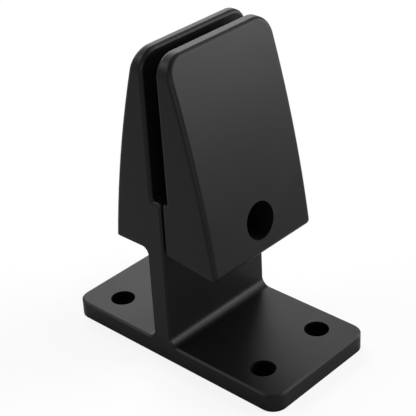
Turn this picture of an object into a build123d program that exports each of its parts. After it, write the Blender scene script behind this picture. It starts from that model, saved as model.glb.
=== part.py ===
from build123d import *
import os
from math import radians, tan

# Desk screen bracket, in millimetres.
# X runs across the panel, Y along the slot, Z up. The origin is on the desk, at the middle of the base,
# and the panel stands in the plane X = 0.

# Base plate
BASE_LENGTH = 75.0
BRACKET_WIDTH = 39.4
BASE_THICKNESS = 5.2
BASE_CORNER_RADIUS = 4.2

# Desk screws
DESK_HOLE_DIAMETER = 7.0
DESK_HOLE_SPACING_X = 53.1
DESK_HOLE_SPACING_Y = 22.7

# Web: its face towards the clamp jaw stands a little past the plane X = 0
WEB_FACE = 0.4
WEB_THICKNESS = 6.1
WEB_FOOT_RADIUS = 2.5
UNDER_JAW_RADIUS = 1.8

# Jaws: heights above the desk, and how far the outer faces stand from the plane X = 0.
# An outer face is one arc, and the bulge is its height over the straight line from tip to foot.
JAW_BOTTOM_HEIGHT = 34.1
SLOT_FLOOR_HEIGHT = 49.9
OVERALL_HEIGHT = 91.0
JAW_FOOT_REACH = 17.4
JAW_TIP_REACH = 5.5
JAW_BULGE = 1.35
JAW_CORNER_RADIUS = 5.7

# The clamp jaw hangs a little lower and further out at its foot than the fixed jaw,
# and each of its ends stops a little short of the body's
CLAMP_JAW_FOOT_REACH = 18.7
CLAMP_JAW_FOOT_DROP = 2.0
CLAMP_JAW_FOOT_RADIUS = 1.6
CLAMP_JAW_INSET = 0.3

# Slot
SLOT_WIDTH = 4.9
SLOT_LEAN = 0.9
SLOT_CORNER_RADIUS = 0.6
SEAM_GAP = 0.3
LEDGE_EDGE_ROUND = 0.6

# Rounded edges
OUTER_EDGE_ROUND = 1.3
SLOT_EDGE_ROUND = 1.1
RIM_CHAMFER = 0.5

# Clamp screw, M6 with a socket head
SCREW_HEIGHT = 42.0
SCREW_DIAMETER = 6.0
SCREW_LENGTH = 16.0
SCREW_TIP_CHAMFER = 0.7
HEAD_DIAMETER = 10.0
HEAD_HEIGHT = 6.0
HEAD_EDGE_CHAMFER = 0.5
KEY_WIDTH = 5.0
KEY_DEPTH = 3.0
HEAD_SEAT_REACH = 3.0

# Clearances round the clamp screw
HEAD_CLEARANCE = 0.2
SHANK_CLEARANCE = 0.3
THREAD_CLEARANCE = 0.05
HEAD_SEAT_GAP = 0.05
TAPPED_HOLE_SPARE = 2.0

# Picking corners and edges: coordinates that count as equal, and a step past a corner
SAME_PLACE = 1e-4
STEP_PAST = 1.0

SLOT_WALL = SLOT_WIDTH / 2
CLAMP_JAW_WIDTH = BRACKET_WIDTH - 2 * CLAMP_JAW_INSET
THROUGH = 2 * BASE_LENGTH
WEB_BACK = WEB_FACE - WEB_THICKNESS
JAW_FACE = WEB_FACE + SEAM_GAP
HEAD_SEAT = JAW_FACE + HEAD_SEAT_REACH
SCREW_UNDERHEAD = HEAD_SEAT + HEAD_SEAT_GAP


def near(value, target):
    return abs(value - target) < SAME_PLACE


def edges_where(shape, test):
    """The edges whose middle point passes the test."""
    return [edge for edge in shape.edges() if test(edge.position_at(0.5))]


def side_outline(width):
    """An outline seen across the slot, with the two top corners rounded."""
    outline = Pos(0, OVERALL_HEIGHT / 2) * Rectangle(width, OVERALL_HEIGHT)
    top = [v for v in outline.vertices() if v.Y > OVERALL_HEIGHT / 2]
    return fillet(top, JAW_CORNER_RADIUS)


def along_slot(outline, width):
    """A prism of an X-Z outline, centred on the clamp screw, with its two top corners rounded."""
    prism = extrude(Plane.XZ.offset(-width / 2) * outline, amount=width)
    return prism & extrude(Plane.YZ * side_outline(width), amount=THROUGH, both=True)


def body_outline():
    """Base, web and fixed jaw as one section, seen along the slot."""
    half_length = BASE_LENGTH / 2
    base_and_web = [
        (WEB_BACK, JAW_BOTTOM_HEIGHT),
        (WEB_BACK, BASE_THICKNESS),
        (-half_length, BASE_THICKNESS),
        (-half_length, 0),
        (half_length, 0),
        (half_length, BASE_THICKNESS),
        (WEB_FACE, BASE_THICKNESS),
        (WEB_FACE, SLOT_FLOOR_HEIGHT),
        (-SLOT_WALL, SLOT_FLOOR_HEIGHT),
        (-SLOT_WALL, OVERALL_HEIGHT),
        (-JAW_TIP_REACH, OVERALL_HEIGHT),
    ]
    jaw_foot = (-JAW_FOOT_REACH, JAW_BOTTOM_HEIGHT)
    lines = Polyline(base_and_web) + SagittaArc(base_and_web[-1], jaw_foot, -JAW_BULGE)
    lines += Line(jaw_foot, base_and_web[0])
    outline = make_face(lines)
    feet = [v for v in outline.vertices() if near(v.Y, BASE_THICKNESS) and abs(v.X) < half_length - STEP_PAST]
    outline = fillet(feet, WEB_FOOT_RADIUS)
    under_jaw = [v for v in outline.vertices() if near(v.X, WEB_BACK) and near(v.Y, JAW_BOTTOM_HEIGHT)]
    outline = fillet(under_jaw, UNDER_JAW_RADIUS)
    slot_corner = [v for v in outline.vertices() if near(v.X, -SLOT_WALL) and near(v.Y, SLOT_FLOOR_HEIGHT)]
    return fillet(slot_corner, SLOT_CORNER_RADIUS)


def clamp_jaw_outline():
    """The moving jaw's section: it meets the body below the slot and leans over it above."""
    lean = (OVERALL_HEIGHT - SLOT_FLOOR_HEIGHT) * tan(radians(SLOT_LEAN))
    inner = [
        (JAW_FACE, JAW_BOTTOM_HEIGHT),
        (JAW_FACE, SLOT_FLOOR_HEIGHT),
        (SLOT_WALL, SLOT_FLOOR_HEIGHT),
        (SLOT_WALL - lean, OVERALL_HEIGHT),
        (JAW_TIP_REACH, OVERALL_HEIGHT),
    ]
    jaw_foot = (CLAMP_JAW_FOOT_REACH, JAW_BOTTOM_HEIGHT - CLAMP_JAW_FOOT_DROP)
    lines = Polyline(inner) + SagittaArc(inner[-1], jaw_foot, JAW_BULGE)
    lines += Line(jaw_foot, inner[0])
    outline = make_face(lines)
    slot_corner = [v for v in outline.vertices() if near(v.X, SLOT_WALL) and near(v.Y, SLOT_FLOOR_HEIGHT)]
    outline = fillet(slot_corner, SLOT_CORNER_RADIUS)
    ledge_edge = [v for v in outline.vertices() if near(v.X, JAW_FACE) and near(v.Y, SLOT_FLOOR_HEIGHT)]
    outline = fillet(ledge_edge, LEDGE_EDGE_ROUND)
    foot = [v for v in outline.vertices() if near(v.X, CLAMP_JAW_FOOT_REACH)]
    return fillet(foot, CLAMP_JAW_FOOT_RADIUS)


def screw_axis(reach):
    """A plane across the clamp screw's axis, facing out of the bracket."""
    return Plane(origin=(reach, 0, SCREW_HEIGHT), x_dir=(0, 1, 0), z_dir=(1, 0, 0))


def screw_bore(start, end, diameter):
    return extrude(screw_axis(start) * Circle(diameter / 2), amount=end - start)


def desk_holes():
    pattern = GridLocations(DESK_HOLE_SPACING_X, DESK_HOLE_SPACING_Y, 2, 2)
    return extrude(Sketch() + pattern * Circle(DESK_HOLE_DIAMETER / 2), amount=BASE_THICKNESS)


def make_body():
    body = along_slot(body_outline(), BRACKET_WIDTH)
    end = BASE_LENGTH / 2 - STEP_PAST
    corners = edges_where(body, lambda p: near(p.Z, BASE_THICKNESS / 2) and abs(p.X) > end)
    body = fillet(corners, BASE_CORNER_RADIUS)
    above_foot = JAW_BOTTOM_HEIGHT + STEP_PAST
    outer = edges_where(body, lambda p: p.X < -JAW_TIP_REACH + SAME_PLACE and p.Z > above_foot)
    body = fillet(outer, OUTER_EDGE_ROUND)
    slot = edges_where(body, lambda p: near(p.X, -SLOT_WALL) and p.Z > SLOT_FLOOR_HEIGHT + STEP_PAST)
    body = fillet(slot, SLOT_EDGE_ROUND)
    rim = edges_where(body, lambda p: near(p.Z, BASE_THICKNESS))
    body = chamfer(rim, RIM_CHAMFER)
    tip = SCREW_UNDERHEAD - SCREW_LENGTH
    tapped = screw_bore(tip - TAPPED_HOLE_SPARE, JAW_FACE, SCREW_DIAMETER + 2 * THREAD_CLEARANCE)
    return body - desk_holes() - tapped


def is_on_slot_wall(point):
    """Whether a point lies on the moving jaw's leaning slot wall."""
    return near(point.X, SLOT_WALL - (point.Z - SLOT_FLOOR_HEIGHT) * tan(radians(SLOT_LEAN)))


def make_clamp_jaw():
    """The moving jaw. The rounding of its outer edges runs on round the foot and under the jaw."""
    jaw = along_slot(clamp_jaw_outline(), CLAMP_JAW_WIDTH)
    above_foot = JAW_BOTTOM_HEIGHT + STEP_PAST
    outer = edges_where(jaw, lambda p: p.X > JAW_TIP_REACH - SAME_PLACE and p.Z > above_foot)
    jaw = fillet(outer, OUTER_EDGE_ROUND)
    slot = edges_where(jaw, lambda p: is_on_slot_wall(p) and p.Z > SLOT_FLOOR_HEIGHT + STEP_PAST)
    jaw = fillet(slot, SLOT_EDGE_ROUND)
    counterbore = screw_bore(HEAD_SEAT, CLAMP_JAW_FOOT_REACH, HEAD_DIAMETER + 2 * HEAD_CLEARANCE)
    clearance_hole = screw_bore(WEB_FACE, HEAD_SEAT, SCREW_DIAMETER + 2 * SHANK_CLEARANCE)
    return jaw - counterbore - clearance_hole


def make_clamp_screw():
    head = screw_bore(SCREW_UNDERHEAD, SCREW_UNDERHEAD + HEAD_HEIGHT, HEAD_DIAMETER)
    head = chamfer(head.faces().sort_by(Axis.X)[-1].edges(), HEAD_EDGE_CHAMFER)
    shank = screw_bore(SCREW_UNDERHEAD - SCREW_LENGTH, SCREW_UNDERHEAD, SCREW_DIAMETER)
    shank = chamfer(shank.faces().sort_by(Axis.X)[0].edges(), SCREW_TIP_CHAMFER)
    key = RegularPolygon(KEY_WIDTH / 2, 6, major_radius=False)
    socket = extrude(screw_axis(SCREW_UNDERHEAD + HEAD_HEIGHT) * key, amount=-KEY_DEPTH)
    return head + shank - socket


def main():
    os.makedirs("parts", exist_ok=True)
    parts = {
        "body": make_body(),
        "clamp_jaw": make_clamp_jaw(),
        "clamp_screw": make_clamp_screw(),
    }
    for name, shape in parts.items():
        export_step(shape, f"parts/{name}.step")


main()
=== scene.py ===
"""Desk screen bracket: its finish, its clamp screw in detail and the studio. Sizes are in metres."""
from math import cos, pi, radians, sin

import bmesh
import bpy
from mathutils import Matrix, Vector


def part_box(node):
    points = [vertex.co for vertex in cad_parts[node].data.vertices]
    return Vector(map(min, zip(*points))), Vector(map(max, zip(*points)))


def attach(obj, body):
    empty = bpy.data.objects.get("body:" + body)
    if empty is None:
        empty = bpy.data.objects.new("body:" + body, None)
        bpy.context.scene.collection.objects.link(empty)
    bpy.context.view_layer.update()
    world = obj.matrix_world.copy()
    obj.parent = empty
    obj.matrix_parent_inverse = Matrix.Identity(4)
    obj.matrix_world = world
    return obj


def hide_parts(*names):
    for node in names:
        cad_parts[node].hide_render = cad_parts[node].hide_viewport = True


# Camera, fitted to the photograph's edges
CAMERA_PLACE = (0.2069, -0.2157, 0.2141)
CAMERA_AZIMUTH = radians(44.0)
CAMERA_ELEVATION = radians(30.27)
CAMERA_ROLL = radians(3.23)
CAMERA_LENS_MM = 111.35
CAMERA_SENSOR_MM = 36.0

# Floor: its own white grows from near to far, and in reflections it is darkened beside the object as
# painted shade
WHITE = (1.0, 1.0, 1.0, 1.0)
FLOOR_HALF = 4.0
FLOOR_COLOUR = 0.8
FLOOR_OWN_WHITE_NEAR = 0.85
FLOOR_OWN_WHITE_FAR = 1.0
FLOOR_NEAR = 0.06
FLOOR_FAR = 0.35
FLOOR_PAINTED_SHADE_REACH = 0.15
FLOOR_PAINTED_SHADE_POWER = 5.0
FOOTPRINT_MARGIN = 0.004

# Light. Azimuth is counted from +Y towards -X, and a size is width and height.
WORLD_FILL = 0.12
BOX_DISTANCE = 1.7
SOFT_BOXES = {
    "back_box": {"azimuth": 60.0, "elevation": 30.0, "size": (1.6, 1.1), "radiance": 4.6},
    "side_box": {"azimuth": -42.0, "elevation": 13.0, "size": (1.4, 0.6), "radiance": 14.5},
    "front_box": {"azimuth": 130.0, "elevation": 38.0, "size": (0.8, 0.4), "radiance": 12.0},
    "high_box": {"azimuth": -39.0, "elevation": 42.0, "size": (0.8, 0.35), "radiance": 11.0},
    "near_box": {"azimuth": -136.0, "elevation": 5.0, "size": (1.2, 0.25), "radiance": 12.0},
}

# The stretch of a noise value over which a number or a colour changes
NUMBER_SPREAD = (0.3, 0.7)
COLOUR_SPREAD = (0.35, 0.65)

# Satin black coating
COATING_SPECULAR_LEVEL = 0.11
COATING_COLOURS = ((0.0012, 0.0012, 0.0013), (0.0020, 0.0020, 0.0021))
COATING_ROUGHNESS = (0.42, 0.46)
COATING_CLOUDS = {"scale": 60.0, "detail": 3.0}
COATING_GRAIN = {"scale": 5200.0, "detail": 2.0, "roughness": 0.6}
COATING_PEEL = {"scale": 900.0, "detail": 2.0}
COATING_GRAIN_BUMP = {"strength": 0.12, "distance": 0.00005}
COATING_PEEL_BUMP = {"strength": 0.06, "distance": 0.0001}

# Black oxide on steel
OXIDE_COLOURS = ((0.02, 0.02, 0.022), (0.036, 0.036, 0.038))
OXIDE_ROUGHNESS = (0.34, 0.46)
OXIDE_PATCHES = {"scale": 350.0, "detail": 4.0, "roughness": 0.6}
OXIDE_GRAIN = {"scale": 6000.0, "detail": 2.0}
OXIDE_GRAIN_BUMP = {"strength": 0.1, "distance": 0.00003}

# Clamp screw, M6 with a socket head: shank and thread
SHANK_RADIUS = 0.003
TIP_CHAMFER = 0.0007
THREAD_PITCH = 0.001
THREAD_DEPTH = 0.00061
THREAD_START = 0.0008
THREAD_CREST_SHARE = 0.125
THREAD_FLANK_SHARE = 0.625
STEPS_PER_PITCH = 8

# Head, from its seat to its top, with a knurled side
HEAD_HEIGHT = 0.006
SEAT_CHAMFER = 0.0003
SMOOTH_RIM_END = 0.0008
KNURL_BOTTOM = 0.0011
KNURL_TOP_DROP = 0.0009
TOP_CHAMFER_DROP = 0.0005
TOP_CHAMFER_INSET = 0.0006
KNURL_TEETH = 44
KNURL_DEPTH = 0.00018
POINTS_PER_TOOTH = 4

# Hex recess: a round mouth, six flats and a drill point
KEY_HALF_WIDTH = 0.0025
KEY_DEPTH = 0.003
MOUTH_RADIUS = 0.003
MOUTH_DEPTH = 0.0002
DRILL_RADIUS = 0.002125
DRILL_POINT_DEPTH = 0.0008
DRILL_POINT_RADIUS = 0.0002


def node_setup(name):
    """A new material with a plain Principled shader, its nodes, and a function that links sockets."""
    material = bpy.data.materials.new(name)
    material.use_nodes = True
    nodes = material.node_tree.nodes
    return material, nodes, material.node_tree.links.new


def noise(nodes, link, coordinates, scale, detail, roughness=0.5):
    texture = nodes.new("ShaderNodeTexNoise")
    texture.inputs["Scale"].default_value = scale
    texture.inputs["Detail"].default_value = detail
    texture.inputs["Roughness"].default_value = roughness
    link(coordinates, texture.inputs["Vector"])
    return texture.outputs["Fac"]


def spread(nodes, link, value, low, high, limits=NUMBER_SPREAD):
    """Maps a value between the two limits to low...high."""
    mapped = nodes.new("ShaderNodeMapRange")
    mapped.inputs["From Min"].default_value = limits[0]
    mapped.inputs["From Max"].default_value = limits[1]
    mapped.inputs["To Min"].default_value = low
    mapped.inputs["To Max"].default_value = high
    link(value, mapped.inputs["Value"])
    return mapped.outputs["Result"]


def two_colours(nodes, link, value, colours):
    ramp = nodes.new("ShaderNodeValToRGB")
    for element, position, colour in zip(ramp.color_ramp.elements, COLOUR_SPREAD, colours):
        element.position = position
        element.color = (*colour, 1.0)
    link(value, ramp.inputs["Fac"])
    return ramp.outputs["Color"]


def bump(nodes, link, height, strength, distance, normal=None):
    node = nodes.new("ShaderNodeBump")
    node.inputs["Strength"].default_value = strength
    node.inputs["Distance"].default_value = distance
    link(height, node.inputs["Height"])
    if normal is not None:
        link(normal, node.inputs["Normal"])
    return node.outputs["Normal"]


def bracket_finish():
    """Satin black coating: an even grain, a little cloudy in tone and gloss, no wear."""
    material, nodes, link = node_setup("bracket_finish")
    shader = nodes["Principled BSDF"]
    shader.inputs["Metallic"].default_value = 0.0
    shader.inputs["Specular IOR Level"].default_value = COATING_SPECULAR_LEVEL
    place = nodes.new("ShaderNodeTexCoord").outputs["Object"]
    clouds = noise(nodes, link, place, **COATING_CLOUDS)
    grain = noise(nodes, link, place, **COATING_GRAIN)
    orange_peel = noise(nodes, link, place, **COATING_PEEL)
    link(two_colours(nodes, link, clouds, COATING_COLOURS), shader.inputs["Base Color"])
    link(spread(nodes, link, clouds, *COATING_ROUGHNESS), shader.inputs["Roughness"])
    fine = bump(nodes, link, grain, **COATING_GRAIN_BUMP)
    coarse = bump(nodes, link, orange_peel, **COATING_PEEL_BUMP, normal=fine)
    link(coarse, shader.inputs["Normal"])
    return material


def screw_steel():
    """Black oxide on steel: dark, slightly oily, worn a little lighter in patches."""
    material, nodes, link = node_setup("screw_steel")
    shader = nodes["Principled BSDF"]
    shader.inputs["Metallic"].default_value = 1.0
    place = nodes.new("ShaderNodeTexCoord").outputs["Object"]
    patches = noise(nodes, link, place, **OXIDE_PATCHES)
    grain = noise(nodes, link, place, **OXIDE_GRAIN)
    link(two_colours(nodes, link, patches, OXIDE_COLOURS), shader.inputs["Base Color"])
    link(spread(nodes, link, patches, *OXIDE_ROUGHNESS), shader.inputs["Roughness"])
    link(bump(nodes, link, grain, **OXIDE_GRAIN_BUMP), shader.inputs["Normal"])
    return material


def combine(nodes, link, operation, first, second):
    """Two values put together; the second may be a plain number."""
    node = nodes.new("ShaderNodeMath")
    node.operation = operation
    link(first, node.inputs[0])
    if isinstance(second, float):
        node.inputs[1].default_value = second
    else:
        link(second, node.inputs[1])
    return node.outputs[0]


def shown_rays(nodes, link, reflected_share=1.0):
    """1 for rays that show the background directly or through glass, a share for reflected ones."""
    path = nodes.new("ShaderNodeLightPath").outputs
    direct = combine(nodes, link, "MAXIMUM", path["Is Camera Ray"], path["Is Transmission Ray"])
    reflected = combine(nodes, link, "MULTIPLY", path["Is Glossy Ray"], reflected_share)
    return combine(nodes, link, "MAXIMUM", direct, reflected)


def floor_place(nodes):
    return nodes.new("ShaderNodeNewGeometry").outputs["Position"]


def outside_footprint(nodes, link):
    """0 on the floor well under the base, which is painted black there as shade, and 1 elsewhere."""
    low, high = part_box("body")
    place = nodes.new("ShaderNodeSeparateXYZ")
    link(floor_place(nodes), place.inputs[0])
    beyond = []
    for axis, half in (("X", (high.x - low.x) / 2), ("Y", (high.y - low.y) / 2)):
        size = nodes.new("ShaderNodeMath")
        size.operation = "ABSOLUTE"
        link(place.outputs[axis], size.inputs[0])
        edge = half - FOOTPRINT_MARGIN
        beyond.append(combine(nodes, link, "GREATER_THAN", size.outputs[0], edge))
    return combine(nodes, link, "MAXIMUM", *beyond)


def floor_white():
    """A pale floor, partly white by itself where it shows, that still takes the object's shadow; in
    reflections its white is darkened beside the object and under the base it is black, both painted
    shade.
    """
    material, nodes, link = node_setup("floor_white")
    shader = nodes["Principled BSDF"]
    open_floor = outside_footprint(nodes, link)
    # Painted shade: the floor's colour is black under the base
    colour = combine(nodes, link, "MULTIPLY", open_floor, FLOOR_COLOUR)
    link(colour, shader.inputs["Base Color"])
    shader.inputs["Roughness"].default_value = 1.0
    shader.inputs["Specular IOR Level"].default_value = 0.0
    glow = nodes.new("ShaderNodeEmission")
    glow.inputs["Color"].default_value = WHITE
    glow.inputs["Strength"].default_value = 1.0
    # Painted shade: in reflections the floor's own white is darkened near the object by ambient
    # occlusion raised to a power
    shade = nodes.new("ShaderNodeAmbientOcclusion")
    shade.inputs["Distance"].default_value = FLOOR_PAINTED_SHADE_REACH
    painted_shade_share = combine(nodes, link, "POWER", shade.outputs["AO"], FLOOR_PAINTED_SHADE_POWER)
    # Painted shade: the floor has no white of its own under the base
    shown = combine(nodes, link, "MULTIPLY", shown_rays(nodes, link, painted_shade_share), open_floor)
    distance = nodes.new("ShaderNodeVectorMath")
    distance.operation = "LENGTH"
    link(floor_place(nodes), distance.inputs[0])
    own_white = spread(nodes, link, distance.outputs["Value"],
                       FLOOR_OWN_WHITE_NEAR, FLOOR_OWN_WHITE_FAR, limits=(FLOOR_NEAR, FLOOR_FAR))
    mix = nodes.new("ShaderNodeMixShader")
    link(combine(nodes, link, "MULTIPLY", shown, own_white), mix.inputs["Fac"])
    link(shader.outputs["BSDF"], mix.inputs[1])
    link(glow.outputs["Emission"], mix.inputs[2])
    link(mix.outputs["Shader"], nodes["Material Output"].inputs["Surface"])
    return material


def make_world():
    """White where it shows, and an even fill where it lights."""
    world = bpy.data.worlds.new("studio")
    bpy.context.scene.world = world
    world.use_nodes = True
    nodes = world.node_tree.nodes
    link = world.node_tree.links.new
    background = nodes["Background"]
    background.inputs["Color"].default_value = WHITE
    strength = spread(nodes, link, shown_rays(nodes, link), WORLD_FILL, 1.0, limits=(0.0, 1.0))
    link(strength, background.inputs["Strength"])


def make_floor():
    bpy.ops.mesh.primitive_plane_add(size=2 * FLOOR_HALF)
    floor = bpy.context.object
    floor.name = "floor"
    floor.data.materials.append(floor_white())


def make_soft_box(name, azimuth, elevation, size, radiance):
    """An area lamp that faces the object."""
    turn, lift = radians(azimuth), radians(elevation)
    away = Vector((-sin(turn) * cos(lift), cos(turn) * cos(lift), sin(lift)))
    lamp = bpy.data.lights.new(name, "AREA")
    lamp.shape = "RECTANGLE"
    lamp.size, lamp.size_y = size
    lamp.energy = radiance * pi * size[0] * size[1]
    holder = bpy.data.objects.new(name, lamp)
    holder.location = away * BOX_DISTANCE
    holder.rotation_euler = away.to_track_quat("Z", "Y").to_euler()
    holder.visible_camera = False
    bpy.context.scene.collection.objects.link(holder)


def make_camera():
    az, el, roll = CAMERA_AZIMUTH, CAMERA_ELEVATION, CAMERA_ROLL
    back = Vector((sin(az) * cos(el), -cos(az) * cos(el), sin(el)))
    level = Vector((cos(az), sin(az), 0.0))
    upright = back.cross(level)
    right = level * cos(roll) - upright * sin(roll)
    up = upright * cos(roll) + level * sin(roll)
    camera = bpy.data.cameras.new("camera")
    camera.lens = CAMERA_LENS_MM
    camera.sensor_width = CAMERA_SENSOR_MM
    holder = bpy.data.objects.new("camera", camera)
    holder.matrix_world = Matrix((
        (right.x, up.x, back.x, CAMERA_PLACE[0]),
        (right.y, up.y, back.y, CAMERA_PLACE[1]),
        (right.z, up.z, back.z, CAMERA_PLACE[2]),
        (0.0, 0.0, 0.0, 1.0),
    ))
    bpy.context.scene.collection.objects.link(holder)
    bpy.context.scene.camera = holder


def add_ring(bm, axis_point, reach, count, radius):
    """A ring of points round the screw's axis at X = reach, its radius a function of the angle."""
    ring = []
    for i in range(count):
        angle = 2 * pi * i / count
        r = radius(angle)
        place = (reach, axis_point.y + r * cos(angle), axis_point.z + r * sin(angle))
        ring.append(bm.verts.new(place))
    return ring


def skin_rings(bm, rings):
    """Faces from each ring to the next, and one that closes the last."""
    for first, second in zip(rings, rings[1:]):
        count = len(first)
        for i in range(count):
            j = (i + 1) % count
            bm.faces.new((first[i], first[j], second[j], second[i]))
    bm.faces.new(rings[-1])


def hexagon(half_width):
    return lambda angle: half_width / cos((angle + pi / 6) % (pi / 3) - pi / 6)


def knurl(radius, depth):
    return lambda angle: radius - depth * abs(sin(angle * KNURL_TEETH / 2))


def round_bar(radius):
    return lambda angle: radius


def up_to_one(value):
    return min(1.0, max(0.0, value))


def thread_profile(turn):
    """Depth of a 60 degree thread at a share of the pitch, from 0 at the crest to 1 at the root."""
    along = abs(2 * (turn % 1.0) - 1)
    return up_to_one((along - THREAD_CREST_SHARE) / THREAD_FLANK_SHARE)


def threaded_bar(reach, under_head, tip):
    """The shank's section at X = reach: the thread fades in below the head and ends in a chamfer."""
    fade = up_to_one((under_head - reach - THREAD_START) / THREAD_PITCH)
    limit = SHANK_RADIUS - TIP_CHAMFER + reach - tip

    def radius(angle):
        turn = reach / THREAD_PITCH - angle / (2 * pi)
        return min(SHANK_RADIUS - THREAD_DEPTH * fade * thread_profile(turn), limit)

    return radius


def head_sections(seat, top, radius):
    """The head from its seat to its top, and down into the hex recess."""
    recess_floor = top - KEY_DEPTH
    return [
        (seat, round_bar(SHANK_RADIUS)),
        (seat, round_bar(radius - SEAT_CHAMFER)),
        (seat + SEAT_CHAMFER, round_bar(radius)),
        (seat + SMOOTH_RIM_END, round_bar(radius)),
        (seat + KNURL_BOTTOM, knurl(radius, KNURL_DEPTH)),
        (top - KNURL_TOP_DROP, knurl(radius, KNURL_DEPTH)),
        (top - TOP_CHAMFER_DROP, knurl(radius, KNURL_DEPTH / 2)),
        (top, round_bar(radius - TOP_CHAMFER_INSET)),
        (top, round_bar(MOUTH_RADIUS)),
        (top - MOUTH_DEPTH, hexagon(KEY_HALF_WIDTH)),
        (recess_floor, hexagon(KEY_HALF_WIDTH)),
        (recess_floor, round_bar(DRILL_RADIUS)),
        (recess_floor - DRILL_POINT_DEPTH, round_bar(DRILL_POINT_RADIUS)),
    ]


def make_clamp_screw():
    low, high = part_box("clamp_screw")
    axis_point = (low + high) / 2
    tip, top = low.x, high.x
    seat = top - HEAD_HEIGHT
    count = KNURL_TEETH * POINTS_PER_TOOTH
    bm = bmesh.new()
    head = head_sections(seat, top, (high.y - low.y) / 2)
    skin_rings(bm, [add_ring(bm, axis_point, reach, count, shape) for reach, shape in head])

    steps = round((seat - tip) / THREAD_PITCH * STEPS_PER_PITCH)
    shank = []
    for k in range(steps + 1):
        reach = seat - (seat - tip) * k / steps
        section = threaded_bar(reach, seat, tip)
        shank.append(add_ring(bm, axis_point, reach, count // 2, section))
    skin_rings(bm, shank)

    bmesh.ops.recalc_face_normals(bm, faces=bm.faces)
    mesh = bpy.data.meshes.new("clamp_screw_detail")
    bm.to_mesh(mesh)
    bm.free()
    piece = bpy.data.objects.new("clamp_screw_detail", mesh)
    bpy.context.scene.collection.objects.link(piece)
    return piece


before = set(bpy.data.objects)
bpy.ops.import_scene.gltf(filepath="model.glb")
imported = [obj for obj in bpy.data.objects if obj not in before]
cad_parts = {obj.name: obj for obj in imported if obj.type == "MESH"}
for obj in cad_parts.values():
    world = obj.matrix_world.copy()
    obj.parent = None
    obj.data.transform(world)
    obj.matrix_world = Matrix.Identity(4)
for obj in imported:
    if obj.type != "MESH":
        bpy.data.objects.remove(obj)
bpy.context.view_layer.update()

finish = bracket_finish()
steel = screw_steel()
for name in ("body", "clamp_jaw"):
    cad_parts[name].data.materials.clear()
    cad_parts[name].data.materials.append(finish)

screw = make_clamp_screw()
screw.data.materials.append(steel)
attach(screw, "screw")
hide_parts("clamp_screw")

bpy.context.scene.view_settings.view_transform = "Standard"
make_floor()
make_world()
for name, box in SOFT_BOXES.items():
    make_soft_box(name, **box)
make_camera()
